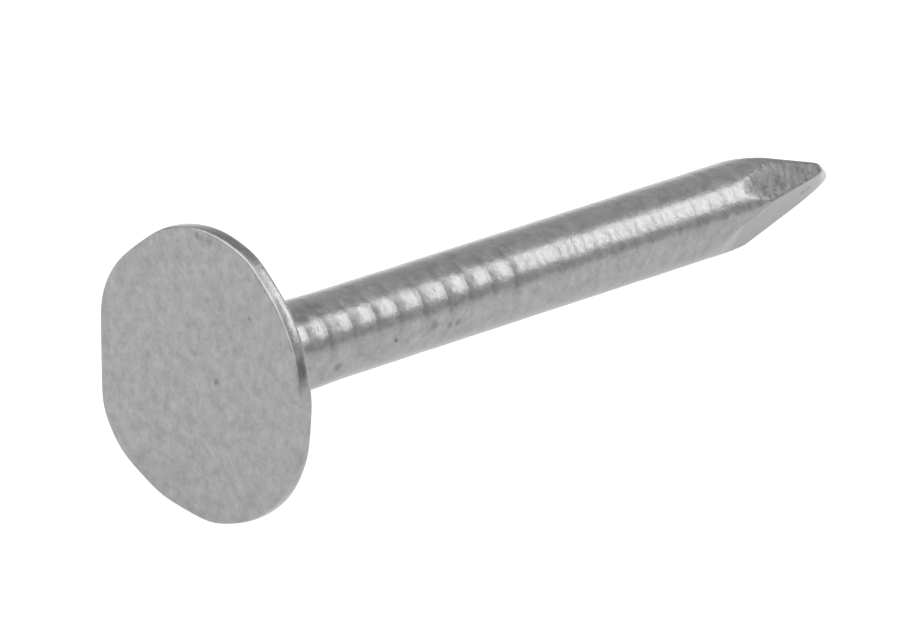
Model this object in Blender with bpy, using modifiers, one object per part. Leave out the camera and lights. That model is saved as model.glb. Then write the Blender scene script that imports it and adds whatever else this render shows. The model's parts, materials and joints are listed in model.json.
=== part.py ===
"""Galvanised clout nail with an extra-large head, at rest on the rim of its head and on its point.

It is one piece of drawn steel wire. The nail is modelled point down, in a frame of its own whose
height 0 is the struck face and whose axis is the wire's, and an empty then lays it on its side.
Angles round the head and the wire are in degrees from the side that ends up on top, towards +Y.
"""

import math

import bmesh
import bpy
from mathutils import Matrix, Vector

# The wire, in metres
LENGTH = 0.0300
WIRE_DIAMETER = 0.00310

# The head, upset from the wire into an oval that is longest across the line of the heading dies
HEAD_LENGTH = 0.01100
HEAD_WIDTH = 0.01024
HEAD_ANGLE = -45.0
HEAD_THICKNESS = 0.00058
RIM_ROUNDING = 0.00014
NECK_FILLET = 0.00035
# Flats round the rim, each with its angle and its depth below half the head's length. The nail
# lies on the first
RIM_FLATS = (
    (180.0, 0.00043),
    (162.5, 0.00025),
    (99.5, 0.00050),
    (82.5, 0.00035),
    (58.0, 0.00040),
    (44.5, 0.00051),
    (-7.5, 0.00022),
    (-30.0, 0.00033),
    (-51.0, 0.00046),
    (-86.0, 0.00053),
    (-96.0, 0.00047),
    (-112.0, 0.00041),
    (-153.5, 0.00042),
    (-170.0, 0.00033),
)

# The grip marks, bitten into two opposite sides of the wire by the teeth of the heading dies
GRIP_START = 0.0036
GRIP_PITCH = 0.00108
GRIP_COUNT = 10
GRIP_WIDTH = 0.00038
GRIP_DEPTH = 0.00005
GRIP_ANGLE = -43.0
DIE_CLEARANCE = 0.00005
DIE_WALL = 0.0010

# The point: four pinched faces, each with its angle round the wire, its distance from the axis at the
# very end, and its slope to the axis. A rounded nose is left between them
POINT_FACES = (
    (-41.5, 0.00085, 7.7),
    (36.0, 0.00020, 17.2),
    (148.0, 0.00019, 9.6),
    (246.0, 0.00023, 11.4),
)
NOSE_RADIUS = 0.00015
NOSE_SLOPE = 46.0

# Facets of the round surfaces
RIM_POINTS = 120
WIRE_SIDES = 48
FILLET_POINTS = 5
NOSE_POINTS = 5
RIM_ROUNDING_SEGMENTS = 3

WIRE_RADIUS = WIRE_DIAMETER / 2
WELD_DISTANCE = 1e-6


def clear_scene():
    for thing in list(bpy.data.objects):
        bpy.data.objects.remove(thing, do_unlink=True)


def new_collection(name):
    collection = bpy.data.collections.new(name)
    bpy.context.scene.collection.children.link(collection)
    return collection


def zinc_coated_steel():
    """Dull grey hot-dip zinc on steel."""
    material = bpy.data.materials.new("zinc_coated_steel")
    material.use_nodes = True
    shader = material.node_tree.nodes["Principled BSDF"]
    shader.inputs["Base Color"].default_value = (0.47, 0.47, 0.475, 1.0)
    shader.inputs["Metallic"].default_value = 0.85
    shader.inputs["Roughness"].default_value = 0.45
    return material


def rim_radius(angle):
    """Distance from the wire's axis to the rim: the upset oval, or the nearest flat if that is closer."""
    turn = math.radians(angle - HEAD_ANGLE)
    oval = 0.5 / math.hypot(math.cos(turn) / HEAD_LENGTH, math.sin(turn) / HEAD_WIDTH)
    distances = [oval]
    for flat_angle, depth in RIM_FLATS:
        facing = math.cos(math.radians(angle - flat_angle))
        if facing > 0.5:
            distances.append((HEAD_LENGTH / 2 - depth) / facing)
    return min(distances)


def head_outline():
    """The rim's outline as a flat curve, extruded to the head's thickness below the struck face."""
    curve = bpy.data.curves.new("head_outline", "CURVE")
    curve.dimensions = "2D"
    curve.fill_mode = "BOTH"
    curve.extrude = HEAD_THICKNESS / 2
    spline = curve.splines.new("POLY")
    spline.points.add(RIM_POINTS - 1)
    spline.use_cyclic_u = True
    for index, point in enumerate(spline.points):
        angle = 360.0 * index / RIM_POINTS
        radius = rim_radius(angle)
        turn = math.radians(angle)
        point.co = (radius * math.cos(turn), radius * math.sin(turn), 0.0, 1.0)
    outline = bpy.data.objects.new("head_outline", curve)
    outline.location = (0.0, 0.0, -HEAD_THICKNESS / 2)
    return outline


def head_blank(collection):
    """The head as a mesh plate with both edges of its rim rounded. It becomes the whole nail."""
    outline = head_outline()
    collection.objects.link(outline)
    bpy.context.view_layer.update()
    graph = bpy.context.evaluated_depsgraph_get()
    mesh = bpy.data.meshes.new_from_object(outline.evaluated_get(graph))
    mesh.transform(outline.matrix_world)
    bpy.data.objects.remove(outline, do_unlink=True)

    plate = bmesh.new()
    plate.from_mesh(mesh)
    bmesh.ops.remove_doubles(plate, verts=plate.verts, dist=WELD_DISTANCE)
    bmesh.ops.dissolve_limit(plate, angle_limit=math.radians(0.2), verts=plate.verts, edges=plate.edges)
    bmesh.ops.recalc_face_normals(plate, faces=plate.faces)
    plate.to_mesh(mesh)
    plate.free()

    head = bpy.data.objects.new("nail", mesh)
    collection.objects.link(head)
    rounding = head.modifiers.new("rim_rounding", "BEVEL")
    rounding.width = RIM_ROUNDING
    rounding.segments = RIM_ROUNDING_SEGMENTS
    rounding.limit_method = "ANGLE"
    rounding.angle_limit = math.radians(45.0)
    return head


def neck_profile():
    """(radius, height) points from inside the head, down the hollow fillet under it, to the wire's side."""
    inside = (WIRE_RADIUS + NECK_FILLET, -HEAD_THICKNESS / 2)
    points = [(0.0, inside[1]), inside]
    centre = (WIRE_RADIUS + NECK_FILLET, -HEAD_THICKNESS - NECK_FILLET)
    for step in range(FILLET_POINTS):
        turn = math.radians(20.0 + 70.0 * step / (FILLET_POINTS - 1))
        points.append((centre[0] - NECK_FILLET * math.sin(turn), centre[1] + NECK_FILLET * math.cos(turn)))
    return points


def nose_profile():
    """From the wire's side, down a cone, round the nose and onto the axis at the end of the point."""
    centre_height = NOSE_RADIUS - LENGTH
    slope = math.radians(NOSE_SLOPE)
    cone_end = (NOSE_RADIUS * math.cos(slope), centre_height - NOSE_RADIUS * math.sin(slope))
    cone_height = (WIRE_RADIUS - cone_end[0]) / math.tan(slope)
    points = [(WIRE_RADIUS, cone_end[1] + cone_height)]
    for step in range(NOSE_POINTS):
        turn = slope + (math.pi / 2 - slope) * step / NOSE_POINTS
        points.append((NOSE_RADIUS * math.cos(turn), centre_height - NOSE_RADIUS * math.sin(turn)))
    return points + [(0.0, -LENGTH)]


def turned(name, profile, closed, collection):
    """A helper solid turned about the vertical axis from a profile that runs down its outer side."""
    edges = [(index, index + 1) for index in range(len(profile) - 1)]
    if closed:
        edges.append((len(profile) - 1, 0))
    mesh = bpy.data.meshes.new(name)
    mesh.from_pydata([(radius, 0.0, height) for radius, height in profile], edges, [])
    solid = bpy.data.objects.new(name, mesh)
    collection.objects.link(solid)
    screw = solid.modifiers.new("turn", "SCREW")
    screw.steps = WIRE_SIDES
    screw.render_steps = WIRE_SIDES
    screw.use_merge_vertices = True
    screw.merge_threshold = WELD_DISTANCE
    as_helper(solid)
    return solid


def as_helper(solid):
    solid.hide_render = True
    solid.display_type = "WIRE"


def shank(collection):
    """The wire from inside the head to the nose, before the dies bite into it."""
    return turned("shank", neck_profile() + nose_profile(), False, collection)


def die_teeth_profile():
    """A ring with one inward tooth for each grip mark, as a closed loop of (radius, height)."""
    tip = WIRE_RADIUS + DIE_CLEARANCE
    root = tip + GRIP_DEPTH * GRIP_PITCH / GRIP_WIDTH
    wall = root + DIE_WALL
    top = -GRIP_START + GRIP_PITCH / 2
    bottom = top - GRIP_COUNT * GRIP_PITCH
    loop = [(wall, top), (wall, bottom), (root, bottom)]
    for tooth in range(GRIP_COUNT):
        foot = bottom + tooth * GRIP_PITCH
        loop.append((tip, foot + GRIP_PITCH / 2))
        loop.append((root, foot + GRIP_PITCH))
    return loop


def heading_dies(collection):
    """Two rings of teeth, each pushed sideways until its teeth bite to full depth on one side of the wire."""
    push = DIE_CLEARANCE + GRIP_DEPTH
    dies = []
    for side in (0.0, 180.0):
        turn = math.radians(GRIP_ANGLE + side)
        die = turned("heading_die_%03d" % side, die_teeth_profile(), True, collection)
        die.location = (-push * math.cos(turn), -push * math.sin(turn), 0.0)
        dies.append(die)
    return dies


def point_die(index, angle, end_distance, slope, collection):
    """A block whose inner side lies on one face of the point."""
    block_depth = WIRE_DIAMETER
    block_length = 2 * WIRE_DIAMETER / math.tan(math.radians(slope))
    mesh = bpy.data.meshes.new("point_die_%d" % index)
    block = bmesh.new()
    bmesh.ops.create_cube(block, size=1.0)
    bmesh.ops.scale(block, vec=Vector((block_depth, 2 * WIRE_DIAMETER, block_length)), verts=block.verts)
    bmesh.ops.translate(block, vec=Vector((block_depth / 2, 0.0, 0.0)), verts=block.verts)
    block.to_mesh(mesh)
    block.free()
    die = bpy.data.objects.new(mesh.name, mesh)
    collection.objects.link(die)
    die.matrix_world = (
        Matrix.Rotation(math.radians(angle), 4, "Z")
        @ Matrix.Translation((end_distance, 0.0, -LENGTH))
        @ Matrix.Rotation(math.radians(slope), 4, "Y")
    )
    as_helper(die)
    return die


def combine(solid, other, operation):
    boolean = solid.modifiers.new(other.name, "BOOLEAN")
    boolean.operation = operation
    boolean.object = other
    boolean.solver = "EXACT"


def build_nail(parts, helpers):
    """Head and wire made one, bitten by the heading dies and pinched to a point."""
    nail = head_blank(parts)
    combine(nail, shank(helpers), "UNION")
    for die in heading_dies(helpers):
        combine(nail, die, "DIFFERENCE")
    for index, (angle, end_distance, slope) in enumerate(POINT_FACES):
        combine(nail, point_die(index, angle, end_distance, slope, helpers), "DIFFERENCE")
    nail.data.materials.append(zinc_coated_steel())
    return nail


def evaluated_points(solid):
    """The finished mesh's vertices, in the nail's own frame."""
    bpy.context.view_layer.update()
    graph = bpy.context.evaluated_depsgraph_get()
    return [vertex.co.copy() for vertex in solid.evaluated_get(graph).data.vertices]


def lowest_when_tilted(points, tilt):
    """How far below the struck face's centre the lowest of the points lies when the point dips by tilt."""
    return max(-point.z * math.sin(tilt) - point.x * math.cos(tilt) for point in points)


def resting_tilt(points):
    """The dip of the point, in radians, at which the head's rim and the point touch one level floor."""
    head = [point for point in points if point.z > -LENGTH / 2]
    tip = [point for point in points if point.z <= -LENGTH / 2]
    low, high = 0.0, math.pi / 4
    for _ in range(50):
        tilt = (low + high) / 2
        if lowest_when_tilted(head, tilt) > lowest_when_tilted(tip, tilt):
            low = tilt
        else:
            high = tilt
    return low


def lay_down(nail, helpers):
    """Turns and centres the nail, by an empty that carries it and its helpers, to rest on a level floor."""
    points = evaluated_points(nail)
    turn = Matrix.Rotation(resting_tilt(points) - math.pi / 2, 4, "Y")
    turned_points = [turn @ point for point in points]
    low = Vector([min(point[axis] for point in turned_points) for axis in range(3)])
    high = Vector([max(point[axis] for point in turned_points) for axis in range(3)])
    pose = bpy.data.objects.new("nail_pose", None)
    nail.users_collection[0].objects.link(pose)
    pose.matrix_world = Matrix.Translation((-(low.x + high.x) / 2, -(low.y + high.y) / 2, -low.z)) @ turn
    for thing in [nail, *helpers.objects]:
        thing.parent = pose


def shade(nail):
    """Smooth shading on the round surfaces, with the edges between faces left sharp."""
    nail.data.shade_smooth()
    nail.data.set_sharp_from_angle(angle=math.radians(30.0))


clear_scene()
nail_collection = new_collection("nail")
helper_collection = new_collection("nail_helpers")
helper_collection.hide_render = True
the_nail = build_nail(nail_collection, helper_collection)
shade(the_nail)
lay_down(the_nail, helper_collection)
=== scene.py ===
import json
import math

import bpy
import numpy as np
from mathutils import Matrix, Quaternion, Vector


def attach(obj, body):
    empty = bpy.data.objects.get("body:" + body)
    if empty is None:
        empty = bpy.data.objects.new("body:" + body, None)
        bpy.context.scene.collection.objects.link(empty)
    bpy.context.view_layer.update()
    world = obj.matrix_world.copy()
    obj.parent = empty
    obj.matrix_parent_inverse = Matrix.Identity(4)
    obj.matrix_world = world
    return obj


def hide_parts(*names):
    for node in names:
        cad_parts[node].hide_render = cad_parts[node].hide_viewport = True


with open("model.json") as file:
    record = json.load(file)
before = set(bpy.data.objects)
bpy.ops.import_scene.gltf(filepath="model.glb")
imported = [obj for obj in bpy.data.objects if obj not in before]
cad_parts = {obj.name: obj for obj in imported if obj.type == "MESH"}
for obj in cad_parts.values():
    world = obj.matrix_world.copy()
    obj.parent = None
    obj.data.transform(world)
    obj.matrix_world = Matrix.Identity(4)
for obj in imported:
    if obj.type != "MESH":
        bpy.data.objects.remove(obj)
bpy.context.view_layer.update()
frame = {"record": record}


# ------------------------------------------------------------------------------------------------
# The nail. Drawn steel wire, with its head upset cold from the same wire and its end pinched off to a
# point, then dipped in molten zinc. It is one piece: nothing is fixed to it and nothing comes off it.

# It lies on a flat of its rim and on the heel of its point, so its axis dips. The struck face's mount
# gives where that axis starts and which way it runs.
struck_face = next(mount for mount in frame["record"]["mounts"] if mount["name"] == "struck_face")
face_centre = np.array(struck_face["pos_m"])
along = -np.array(struck_face["axis"])
along /= np.linalg.norm(along)
sideways = np.array((0.0, 1.0, 0.0))
upward = np.cross(along, sideways)


def on_nail(radius, angle, depth):
    """Points at a radius from the wire's axis, an angle from its top side towards +Y, and a depth
    behind the struck face: centre + depth * along + radius * (cos * upward + sin * sideways)."""
    radius, angle, depth = np.broadcast_arrays(radius, angle, depth)
    return (
        face_centre
        + depth[..., None] * along
        + (radius * np.cos(angle))[..., None] * upward
        + (radius * np.sin(angle))[..., None] * sideways
    )


# ------------------------------------------------------------------------------------------------
# The head. The end of the wire is upset cold between the dies into a broad thin oval. Its rim keeps
# the flats of the tooling, and both its edges are rounded over by tumbling and by the zinc.

HEAD_LENGTH = 0.01100
HEAD_WIDTH = 0.01024
HEAD_ANGLE = math.radians(-45.0)
HEAD_THICKNESS = 0.00058
NECK_FILLET = 0.00035
WIRE_RADIUS = 0.00155
# Angle of each flat round the rim in degrees, and its distance from the axis in millimetres
RIM_FLATS = (
    (180.0, 5.085),
    (162.0, 5.24),
    (99.0, 5.01),
    (82.5, 5.27),
    (58.5, 5.35),
    (46.0, 5.03),
    (-9.5, 5.35),
    (-34.0, 5.15),
    (-51.0, 5.10),
    (-69.0, 5.00),
    (-87.5, 4.98),
    (-106.5, 5.125),
    (-155.0, 5.155),
    (-170.0, 5.26),
)
RIM_SHARPNESS = 61.0
# The least cos of the angle from a flat's middle that is used: no flat cuts further round than that
RIM_LEAST_COS = 0.5
# The struck edge's rounding where it is crisp, what wear adds to it, and the side worn most
EDGE_ROUNDING = 0.00008
EDGE_WEAR = 0.00005
WORN_SIDE = math.radians(-110.0)
BACK_ROUNDING = 0.00015
RIM_BULGE = 0.00001
# Rings across the struck face, round each curve, down the rim and across the underside
FACE_STEPS = 26
CURVE_STEPS = 7
RIM_STEPS = 5
UNDERSIDE_STEPS = 11


def softest(distances, sharpness):
    """The smallest of several distances with the corners between them eased: each is raised to the
    power -sharpness, the powers are added, and the sum is raised to -1 / sharpness."""
    distances = np.array(distances)
    least = distances.min(axis=0)
    return least * np.sum((distances / least) ** -sharpness, axis=0) ** (-1.0 / sharpness)


def rim_distance(angle):
    """The rim's distance from the axis: the oval's polar radius, clipped by each flat, whose distance
    grows as 1 / cos of the angle from the flat's middle."""
    turn = angle - HEAD_ANGLE
    distances = [0.5 / np.hypot(np.cos(turn) / HEAD_LENGTH, np.sin(turn) / HEAD_WIDTH)]
    for flat_angle, distance in RIM_FLATS:
        facing = np.cos(angle - math.radians(flat_angle))
        distances.append(distance * 1e-3 / np.maximum(facing, RIM_LEAST_COS))
    return softest(distances, RIM_SHARPNESS)


def edge_rounding(angle):
    """The struck edge's radius, crisp above and worn low on the -Y side: rounding + wear * cos^2 of the
    angle from the worn side, and no wear on the half that faces away from it."""
    worn = np.clip(np.cos(angle - WORN_SIDE), 0.0, 1.0)
    return EDGE_ROUNDING + EDGE_WEAR * worn**2


def head_rows(angle):
    """(radius, depth) of each ring of the head: out across the flat face, round a quarter circle, down
    the barely bulging rim, round another, in along the flat underside and up the neck's hollow."""
    rim = rim_distance(angle)
    front = edge_rounding(angle)
    back = BACK_ROUNDING
    rings = []
    for share in np.linspace(0.0, 1.0, FACE_STEPS + 1)[1:]:
        rings.append(((rim - front) * share, 0.0 * rim))
    for turn in np.linspace(0.0, math.pi / 2, CURVE_STEPS + 1)[1:]:
        rings.append((rim - front * (1 - math.sin(turn)), front * (1 - math.cos(turn))))
    for share in np.linspace(0.0, 1.0, RIM_STEPS + 1)[1:-1]:
        bulge = RIM_BULGE * math.sin(math.pi * share)
        rings.append((rim + bulge, front + share * (HEAD_THICKNESS - back - front)))
    for turn in np.linspace(0.0, math.pi / 2, CURVE_STEPS + 1):
        over = HEAD_THICKNESS - back * (1 - math.sin(turn))
        rings.append((rim - back * (1 - math.cos(turn)), over + 0.0 * rim))
    neck = WIRE_RADIUS + NECK_FILLET
    for share in np.linspace(0.0, 1.0, UNDERSIDE_STEPS + 1)[1:]:
        rings.append((rim - back + share * (neck - rim + back), HEAD_THICKNESS + 0.0 * rim))
    for turn in np.linspace(0.0, math.pi / 2, CURVE_STEPS + 1)[1:-1]:
        hollow = neck - NECK_FILLET * math.sin(turn)
        over = HEAD_THICKNESS + NECK_FILLET * (1 - math.cos(turn))
        rings.append((hollow + 0.0 * rim, over + 0.0 * rim))
    return rings


# ------------------------------------------------------------------------------------------------
# The shank. Drawn wire, with the bites of the heading dies' teeth on two opposite sides below the
# head, a little flash where the dies meet, and a fine ripple down the rest from drawing and zinc.

# Depth of each bite behind the struck face, in millimetres
GRIPS = (3.77, 4.65, 5.74, 6.81, 7.84, 9.00, 10.15, 11.18, 12.25, 13.29)
GRIP_ANGLE = math.radians(-43.0)
GRIP_DEPTH = 0.000038
GRIP_FALL = 0.00018
GRIP_BOTTOM = 0.00004
# The least and the greatest share of that depth, and how far a bite slants along the wire
GRIP_STRENGTHS = (0.8, 1.15)
GRIP_SLANT = 0.00004
# The flash's height, where along the wire it ends and over what length it fades
FLASH_HEIGHT = 0.00005
FLASH_END = 0.0052
FLASH_FADE = 0.0003
# Heights of the fine ripple, of what is added to it beyond the bites, and of the broad ripple
FINE_RIPPLE = 0.0000008
FINE_RIPPLE_BEYOND = 0.0000012
BROAD_RIPPLE = 0.000003
BITES_END = 0.0125
BITES_FADE = 0.0008


def ripple(depth, angle, longest, shortest, seed, waves=12):
    """Transverse ripple between -1 and 1 or so: a sum of sines along the wire with wavelengths spread
    from longest to shortest, each drifting by up to 0.9 radians round the wire."""
    draw = np.random.default_rng(seed)
    total = 0.0 * depth * angle
    for length in np.geomspace(longest, shortest, waves):
        phase = draw.uniform(0.0, 2 * math.pi)
        drift = draw.uniform(-0.9, 0.9)
        total = total + np.sin(2 * math.pi * depth / length + phase + drift * np.cos(angle + phase))
    return total / math.sqrt(waves)


def bites(depth, angle):
    """How deep the dies' teeth cut at a place: for each tooth a cusp, exp(-distance / fall), along the
    wire, blunted at its bottom, which fades to nothing 60 degrees round from the middle of each die, as
    2 * |cos| - 1."""
    draw = np.random.default_rng(3)
    reach = np.clip(2 * np.abs(np.cos(angle - GRIP_ANGLE)) - 1, 0.0, 1.0)
    total = 0.0 * depth * angle
    for grip in GRIPS:
        strength = draw.uniform(*GRIP_STRENGTHS)
        slant = draw.uniform(-GRIP_SLANT, GRIP_SLANT)
        middle = grip * 1e-3 + slant * np.sin(2 * (angle - GRIP_ANGLE))
        distance = np.hypot(depth - middle, GRIP_BOTTOM)
        total = total + GRIP_DEPTH * strength * np.exp(-distance / GRIP_FALL)
    return total * reach


def wire_radius(depth, angle):
    """The drawn radius, less the bites, plus the flash and the ripple. The flash follows sin^8 of the
    angle from the bites, so it peaks on the dies' parting line, and fades along an S-shaped curve."""
    beyond_flash = 1 + np.exp((depth - FLASH_END) / FLASH_FADE)
    flash = FLASH_HEIGHT * np.sin(angle - GRIP_ANGLE) ** 8 / beyond_flash
    beyond_bites = 1 / (1 + np.exp((BITES_END - depth) / BITES_FADE))
    fine = ripple(depth, angle, longest=0.0008, shortest=0.00032, seed=7)
    broad = ripple(depth, angle, longest=0.006, shortest=0.0015, seed=11, waves=6)
    waves = (FINE_RIPPLE + FINE_RIPPLE_BEYOND * beyond_bites) * fine + BROAD_RIPPLE * broad
    return WIRE_RADIUS - bites(depth, angle) + flash + waves


# ------------------------------------------------------------------------------------------------
# The point. Dies pinch the wire off from four sides, which leaves four faces that slope to a small
# blunt nose. The edges between the faces soften towards the end.

# The whole nail's length, and how far behind the struck face the pinched faces begin
LENGTH = 0.0300
POINT_HEEL = 0.0244
# Each face's angle round the wire and slope in degrees, and its distance from the axis at the end
UPPER_FACES = ((-41.5, 7.7, 0.00085), (36.0, 17.2, 0.00020))
LOWER_FACES = ((148.0, 9.6, 0.00019), (246.0, 11.4, 0.00023))
NOSE_RADIUS = 0.00028
NOSE_SLOPE = math.radians(46.0)
# How sharp the edges are along the point, at its end and between the two upper faces
POINT_SHARPNESS = 90.0
NOSE_SHARPNESS = 3.0
UPPER_EDGE_SHARPNESS = 13.0
# How far from the end the edges soften
NOSE_EASING = 0.0008
# The least cos of the angle from a face's direction that is used: a face turned away cuts nothing
FACE_LEAST_COS = 0.05
# The least share of the nose's radius that the cone behind it keeps
CONE_LEAST_SHARE = 0.3


def face_distances(faces, to_end, angle):
    """Each pinched face's polar distance: its distance along its own direction, which grows from its
    value at the end by its slope, over the cos of the angle from that direction."""
    distances = []
    for face_angle, slope, end_distance in faces:
        facing = np.cos(angle - math.radians(face_angle))
        reach = end_distance + to_end * math.tan(math.radians(slope))
        distances.append(reach / np.maximum(facing, FACE_LEAST_COS))
    return distances


def point_radius(depth, angle):
    """The wire's radius, clipped by the four faces and by the cone behind the nose, whose radius grows
    from the nose's by its slope. The edge between the two upper faces is a broad one. Every edge softens
    near the end: 1 / sharpness there is blended by exp(-(distance to the end / easing)^2)."""
    to_end = LENGTH - depth
    nose = NOSE_RADIUS * math.cos(NOSE_SLOPE)
    cone = nose + (to_end - NOSE_RADIUS * (1 - math.sin(NOSE_SLOPE))) * math.tan(NOSE_SLOPE)
    distances = [wire_radius(depth, angle), np.maximum(cone, CONE_LEAST_SHARE * nose) + 0.0 * angle]
    distances.append(softest(face_distances(UPPER_FACES, to_end, angle), UPPER_EDGE_SHARPNESS))
    distances += face_distances(LOWER_FACES, to_end, angle)
    near_end = np.exp(-((to_end / NOSE_EASING) ** 2))
    return softest(distances, 1 / (near_end / NOSE_SHARPNESS + (1 - near_end) / POINT_SHARPNESS))


# ------------------------------------------------------------------------------------------------
# The whole surface, ring by ring from the middle of the struck face to the end of the point. Head,
# shank and point are one piece of steel, so one closed skin runs over all three.

COLUMNS = 224
WIRE_RINGS = 280
POINT_RINGS = 70
NOSE_RINGS = 10
# The share of a pinched face's distance past which the surface counts as lying on that face
ON_FACE = 0.985


def nail_rings():
    """Arrays of radius and depth, a row for each ring and a column for each angle, and the angles. The
    nose is a dome: its rings shrink as the cos of a turn and deepen as its sin."""
    angle = np.linspace(0.0, 2 * math.pi, COLUMNS, endpoint=False)
    head = head_rows(angle)
    start = HEAD_THICKNESS + NECK_FILLET
    wire_depth = np.linspace(start, POINT_HEEL, WIRE_RINGS)[:, None]
    dome_start = LENGTH - NOSE_RADIUS * (1 - math.sin(NOSE_SLOPE))
    point_depth = np.linspace(POINT_HEEL, dome_start, POINT_RINGS + 1)[1:, None]
    turn = np.linspace(NOSE_SLOPE, math.pi / 2, NOSE_RINGS + 1)[1:-1, None]
    dome_depth = LENGTH - NOSE_RADIUS * (1 - np.sin(turn))
    last = point_radius(np.array([[dome_start]]), angle[None])
    radii = [np.array([ring[0] for ring in head]), point_radius(wire_depth, angle[None])]
    radii += [point_radius(point_depth, angle[None]), last * np.cos(turn) / math.cos(NOSE_SLOPE)]
    depths = [np.array([ring[1] for ring in head])]
    for depth in (wire_depth, point_depth, dome_depth):
        depths.append(np.repeat(depth, COLUMNS, axis=1))
    return np.vstack(radii), np.vstack(depths), angle


def closed_mesh(name, rings, first_pole, last_pole):
    """A closed mesh from rows of points: quads between neighbouring rings, and a fan to each pole."""
    rows, columns = rings.shape[:2]
    points = np.vstack([first_pole[None], rings.reshape(-1, 3), last_pole[None]])
    index = 1 + np.arange(rows * columns).reshape(rows, columns)
    after = np.roll(index, -1, axis=1)
    quads = np.stack([index[:-1], after[:-1], after[1:], index[1:]], axis=-1).reshape(-1, 4)
    first_fan = np.stack([np.zeros(columns, int), after[0], index[0]], axis=-1)
    last_fan = np.stack([index[-1], after[-1], np.full(columns, len(points) - 1)], axis=-1)
    mesh = bpy.data.meshes.new(name)
    mesh.from_pydata(points.tolist(), [], first_fan.tolist() + quads.tolist() + last_fan.tolist())
    mesh.shade_smooth()
    return mesh


radius, depth, angle = nail_rings()
surface = on_nail(radius, angle[None], depth)
nail_mesh = closed_mesh("zinc_coated_nail", surface, face_centre, face_centre + LENGTH * along)
nail = bpy.data.objects.new("zinc_coated_nail", nail_mesh)
bpy.context.scene.collection.objects.link(nail)

# The zinc reads how deep behind the struck face a place is, whether it is on the near pinched faces,
# and how far down a bite it is
near_faces = face_distances((UPPER_FACES[0], LOWER_FACES[1]), LENGTH - depth, angle)
on_upper, on_lower = [(radius > ON_FACE * face) & (depth > POINT_HEEL) for face in near_faces]
# How far down a bite a place is, squared: the zinc darkens it there with painted shade
bitten = (bites(depth, angle) / GRIP_DEPTH) ** 2
marks = (
    ("depth_mm", depth * 1e3, LENGTH * 1e3),
    ("scuffed", on_upper, 0.0),
    ("pinched", on_upper | on_lower, 0.0),
    ("bitten", bitten, 0.0),
)
for name, on_rings, at_end in marks:
    values = np.concatenate([[0.0], 1.0 * on_rings.ravel(), [at_end]])
    attribute = nail_mesh.attributes.new(name, "FLOAT", "POINT")
    attribute.data.foreach_set("value", values.astype(np.float32))


# ------------------------------------------------------------------------------------------------
# The zinc. A skin of a few hundredths of a millimetre, alloyed to the steel in the bath, that has
# dulled to a mottled grey. It is pitted in places, and painted shade darkens patches of the rim, the
# pinched faces of the point and the bottoms of the bites.


class Value:
    """A shader socket that works like a number: each sum or product of it becomes a Math node."""

    def __init__(self, finish, socket):
        self.finish = finish
        self.socket = socket

    def math(self, operation, first, second):
        return self.finish.node("ShaderNodeMath", {"operation": operation}, {0: first, 1: second})

    def __add__(self, other):
        return self.math("ADD", self, other)

    def __mul__(self, other):
        return self.math("MULTIPLY", self, other)

    __radd__ = __add__
    __rmul__ = __mul__


class Finish:
    """A material under construction. node() adds a node from its type, its settings and its inputs."""

    def __init__(self, name):
        self.material = bpy.data.materials.new(name)
        self.material.use_nodes = True
        self.tree = self.material.node_tree
        self.tree.nodes.clear()

    def node(self, kind, settings, inputs, output=0):
        made = self.tree.nodes.new(kind)
        for setting, value in settings.items():
            setattr(made, setting, value)
        for socket, value in inputs.items():
            if isinstance(value, Value):
                self.tree.links.new(value.socket, made.inputs[socket])
            else:
                made.inputs[socket].default_value = value
        return Value(self, made.outputs[output] if made.outputs else None)


# Across and up the struck face, in millimetres, the radius of a dark pit there, and how dark it is
FACE_SPOTS = (
    (0.78, 4.92, 0.18, 0.40),
    (0.58, 4.96, 0.16, 0.30),
    (0.20, 4.98, 0.22, 0.28),
    (-0.83, 0.15, 0.20, 0.50),
    (-2.07, 3.08, 0.10, 0.35),
)
# The same on the wire: depth behind the struck face, angle in degrees, radius and darkness
WIRE_SPOTS = (
    (7.60, -90.0, 0.13, 0.60),
    (9.38, -86.0, 0.24, 0.32),
    (10.15, -92.0, 0.18, 0.40),
    (10.50, -93.0, 0.20, 0.35),
    (4.94, -102.0, 0.24, 0.40),
    (3.98, -26.0, 0.28, 0.45),
    (4.10, -12.0, 0.35, 0.30),
    (4.90, -12.0, 0.28, 0.30),
    (4.55, -6.0, 0.32, 0.25),
    (28.21, -89.1, 0.15, 0.85),
    (28.51, -78.8, 0.13, 0.85),
)
# How far the edges of the pits and stains wander
WANDER = 0.00006
DARK_SPOTS = []
for across, up, size, darkness in FACE_SPOTS:
    middle = face_centre + across * 1e-3 * sideways + up * 1e-3 * upward
    DARK_SPOTS.append((middle, size * 1e-3, darkness))
for behind, degrees, size, darkness in WIRE_SPOTS:
    round_wire = math.radians(degrees)
    middle = on_nail(point_radius(behind * 1e-3, round_wire), round_wire, behind * 1e-3)
    DARK_SPOTS.append((middle, size * 1e-3, darkness))
# Painted shade along the rim, in place of the dark reflections on its wall: angle in degrees, radius
# of each patch in millimetres and darkness
RIM_PAINTED_SHADE = ((-4.0, 1.9, 0.30), (-65.0, 0.62, 0.58))
RIM_SHADE_DISTANCE = 0.47 * HEAD_LENGTH
DARK_ZINC = (0.125, 0.125, 0.127, 1.0)
LIGHT_ZINC = (0.39, 0.39, 0.394, 1.0)
# The grey of the dirt in pits and scuffs, also used as painted shade on the rim, the pinched faces and the
# bites
DIRT_AND_SHADE_GREY = (0.03, 0.03, 0.03, 1.0)
# How far painted shade covers the pinched faces, how far dirt covers the scuffs on the upper one,
# and how far painted shade covers the bottoms of the bites
# Painted shade on the pinched faces of the point
PINCHED_PAINTED_SHADE = 0.28
SCUFF_DIRT = 0.40
# Painted shade in the bottoms of the bites, which darkens the gaps in the shank's highlight
BITE_PAINTED_SHADE = 0.45


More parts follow.
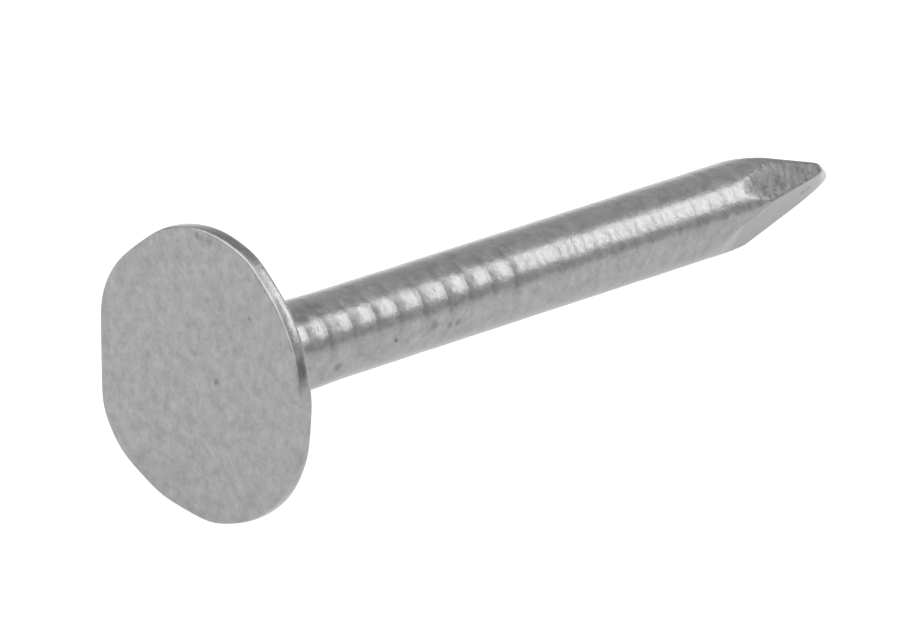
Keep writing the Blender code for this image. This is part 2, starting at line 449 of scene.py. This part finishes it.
def zinc():
    """Mottled dull zinc: blotches and grain mix a dark and a light grey, and one dark grey covers them
    as dirt where there is a pit or a scuff, and as painted shade on patches of the rim, on the pinched
    faces and in the bites. The blotches vary the roughness too, and the grain and lumps of their own
    raise a slight relief."""
    finish = Finish("zinc_coated_steel")
    place = finish.node("ShaderNodeTexCoord", {}, {}, "Object")

    def noise(scale, detail, roughness):
        """Noise from 0 to 1 with about so many lumps to the metre."""
        inputs = {"Vector": place, "Scale": scale, "Detail": detail, "Roughness": roughness}
        return finish.node("ShaderNodeTexNoise", {}, inputs)

    blotches = noise(2300.0, 3.0, 0.6)
    grain = noise(6000.0, 2.0, 0.6)
    tone = 0.65 * blotches + 0.35 * grain
    colour = finish.node(
        "ShaderNodeMix",
        {"data_type": "RGBA"},
        {0: tone, 6: DARK_ZINC, 7: LIGHT_ZINC},
        2,
    )
    jitter = finish.node(
        "ShaderNodeVectorMath", {"operation": "SCALE"}, {0: noise(4000.0, 1.0, 0.5), "Scale": 2 * WANDER}
    )
    moved = finish.node("ShaderNodeVectorMath", {"operation": "ADD"}, {0: place, 1: jitter})

    def ramp(value, start, end, first, last):
        """A straight climb from first to last while the value goes from start to end."""
        return finish.node(
            "ShaderNodeMapRange",
            {},
            {"Value": value, "From Min": start, "From Max": end, "To Min": first, "To Max": last},
        )

    def spot(middle, size, darkness):
        """Full darkness out to 0.3 of the size from the middle, none from the size outwards."""
        gap = finish.node(
            "ShaderNodeVectorMath", {"operation": "DISTANCE"}, {0: moved, 1: tuple(middle + WANDER)}, "Value"
        )
        return ramp(gap, 0.3 * size, size, darkness, 0.0)

    dirt_and_shade = 0.0
    for middle, size, darkness in DARK_SPOTS:
        inside = spot(middle, size, darkness)
        dirt_and_shade = inside.math("MAXIMUM", inside, dirt_and_shade)

    def mark(name):
        """What the mesh says of a place, under one of the names that it carries."""
        return finish.node("ShaderNodeAttribute", {"attribute_name": name}, {}, "Fac")

    # The painted shade keeps to the rim: it begins in the struck edge's rounding and ends in the back edge's
    depth_mm = mark("depth_mm")
    on_rim = ramp(depth_mm, 0.04, 0.08, 0.0, 1.0) * ramp(depth_mm, 0.36, 0.46, 1.0, 0.0)
    # Painted shade: dark patches on the rim that stand in for its dark reflections
    for rim_angle, size, darkness in RIM_PAINTED_SHADE:
        middle = on_nail(RIM_SHADE_DISTANCE, math.radians(rim_angle), HEAD_THICKNESS / 2)
        dirt_and_shade = dirt_and_shade + on_rim * spot(middle, size * 1e-3, darkness)
    scuffs = ramp(noise(3300.0, 3.0, 0.6), 0.50, 0.70, 0.0, SCUFF_DIRT)
    # Dirt on the scuffs, painted shade on the pinched faces and in the bites, all in the same dark grey
    dirt_and_shade = dirt_and_shade + PINCHED_PAINTED_SHADE * mark("pinched") + mark("scuffed") * scuffs + BITE_PAINTED_SHADE * mark("bitten")
    colour = finish.node("ShaderNodeMix", {"data_type": "RGBA"}, {0: dirt_and_shade, 6: colour, 7: DIRT_AND_SHADE_GREY}, 2)
    relief = 0.35 * grain + 0.9 * noise(2400.0, 3.0, 0.55)
    bump = finish.node("ShaderNodeBump", {}, {"Strength": 0.5, "Distance": 0.00003, "Height": relief})
    shader = finish.node(
        "ShaderNodeBsdfPrincipled",
        {},
        {"Base Color": colour, "Metallic": 1.0, "Roughness": 0.22 + 0.14 * blotches, "Normal": bump},
    )
    finish.node("ShaderNodeOutputMaterial", {}, {"Surface": shader})
    return finish.material


nail_mesh.materials.append(zinc())
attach(nail, "root")
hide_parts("nail")


# ------------------------------------------------------------------------------------------------
# The table, the lights and the camera. The table is a glowing white sheet. A broad light hangs over
# it, a narrow key light leans beyond the point with a dark card low beside it, one light stands past
# the head on the far side, and two weak ones fill in from beside the camera and from high up.

bpy.context.scene.view_settings.view_transform = "Standard"


def square(name, half_width, half_depth, centre, facing, material):
    """A flat card of a given size, with its middle at a place and its front towards a direction."""
    corners = [(-1, -1), (1, -1), (1, 1), (-1, 1)]
    mesh = bpy.data.meshes.new(name)
    turn = Vector(facing).to_track_quat("Z", "Y")
    points = [turn @ Vector((x * half_width, y * half_depth, 0.0)) + Vector(centre) for x, y in corners]
    mesh.from_pydata(points, [], [(0, 1, 2, 3)])
    mesh.materials.append(material)
    card = bpy.data.objects.new(name, mesh)
    bpy.context.scene.collection.objects.link(card)
    return card


def matt(name, grey, glow):
    """A matt grey paper that may glow."""
    finish = Finish(name)
    shader = finish.node(
        "ShaderNodeBsdfPrincipled",
        {},
        {
            "Base Color": (grey, grey, grey, 1.0),
            "Roughness": 1.0,
            "Specular IOR Level": 0.0,
            "Emission Color": (1.0, 1.0, 1.0, 1.0),
            "Emission Strength": glow,
        },
    )
    finish.node("ShaderNodeOutputMaterial", {}, {"Surface": shader})
    return finish.material


TABLE_HALF = 1.8
glowing_sheet = matt("white_table", grey=0.3, glow=0.90)
square("table", TABLE_HALF, TABLE_HALF, (0.0, 0.0, 0.0), (0.0, 0.0, 1.0), glowing_sheet)

STUDIO_GREY = (0.80, 0.80, 0.80, 1.0)
world = bpy.data.worlds.new("studio")
world.use_nodes = True
world.node_tree.nodes["Background"].inputs["Color"].default_value = STUDIO_GREY
bpy.context.scene.world = world


def direction(azimuth, elevation):
    """Unit vector at an azimuth, 0 towards -Y and 90 towards +X, and an elevation, both in degrees."""
    across = math.cos(math.radians(elevation))
    return np.array(
        (
            math.sin(math.radians(azimuth)) * across,
            -math.cos(math.radians(azimuth)) * across,
            math.sin(math.radians(elevation)),
        )
    )


def softbox(name, azimuth, elevation, distance, half_width, half_height, radiance, lean=0.0):
    """A rectangular light that faces the nail, as wide and high as two half angles say, with the power
    that gives its face a radiance: radiance * pi * area. It may lean over, by an angle in degrees."""
    light = bpy.data.lights.new(name, "AREA")
    light.shape = "RECTANGLE"
    light.size = 2 * distance * math.tan(math.radians(half_width))
    light.size_y = 2 * distance * math.tan(math.radians(half_height))
    light.energy = radiance * math.pi * light.size * light.size_y
    lamp = bpy.data.objects.new(name, light)
    away = Vector(direction(azimuth, elevation))
    lamp.location = away * distance
    lamp.rotation_mode = "QUATERNION"
    leaning = Quaternion((0.0, 0.0, 1.0), math.radians(lean))
    lamp.rotation_quaternion = away.to_track_quat("Z", "Y") @ leaning
    lamp.visible_camera = False
    bpy.context.scene.collection.objects.link(lamp)


# Name, azimuth, elevation, distance in metres, half width and half height, radiance, and lean
softbox("overhead_light", 0.0, 90.0, 2.5, 32.0, 32.0, 2.0)
softbox("key_light", 66.0, 30.0, 2.0, 16.5, 5.0, 5.0, 36.0)
softbox("edge_light", -140.0, 36.0, 2.0, 22.0, 20.0, 2.1)
softbox("front_fill", -50.0, 38.0, 2.0, 35.0, 22.0, 1.3)
softbox("top_fill", 40.0, 55.0, 2.0, 24.0, 6.0, 1.2)

CARD_DISTANCE = 1.9
away = direction(41.0, 2.0)
dark_paper = matt("black_card", grey=0.10, glow=0.25)
black_card = square("black_card", 0.20, 0.16, away * CARD_DISTANCE, -away, dark_paper)
black_card.visible_camera = False

# Where the camera stands, and the azimuth and elevation that it stands back along
CAMERA_PLACE = (-0.186064, -0.196107, 0.169020)
CAMERA_AZIMUTH = -43.1175
CAMERA_ELEVATION = 31.7793
camera_data = bpy.data.cameras.new("camera")
camera_data.sensor_width = 36.0
camera_data.lens = 358.84
camera_data.clip_start = 0.01
camera_data.clip_end = 10.0
camera = bpy.data.objects.new("camera", camera_data)
camera.location = CAMERA_PLACE
camera.rotation_mode = "QUATERNION"
backwards = Vector(direction(CAMERA_AZIMUTH, CAMERA_ELEVATION))
camera.rotation_quaternion = backwards.to_track_quat("Z", "Y")
bpy.context.scene.collection.objects.link(camera)
bpy.context.scene.camera = camera
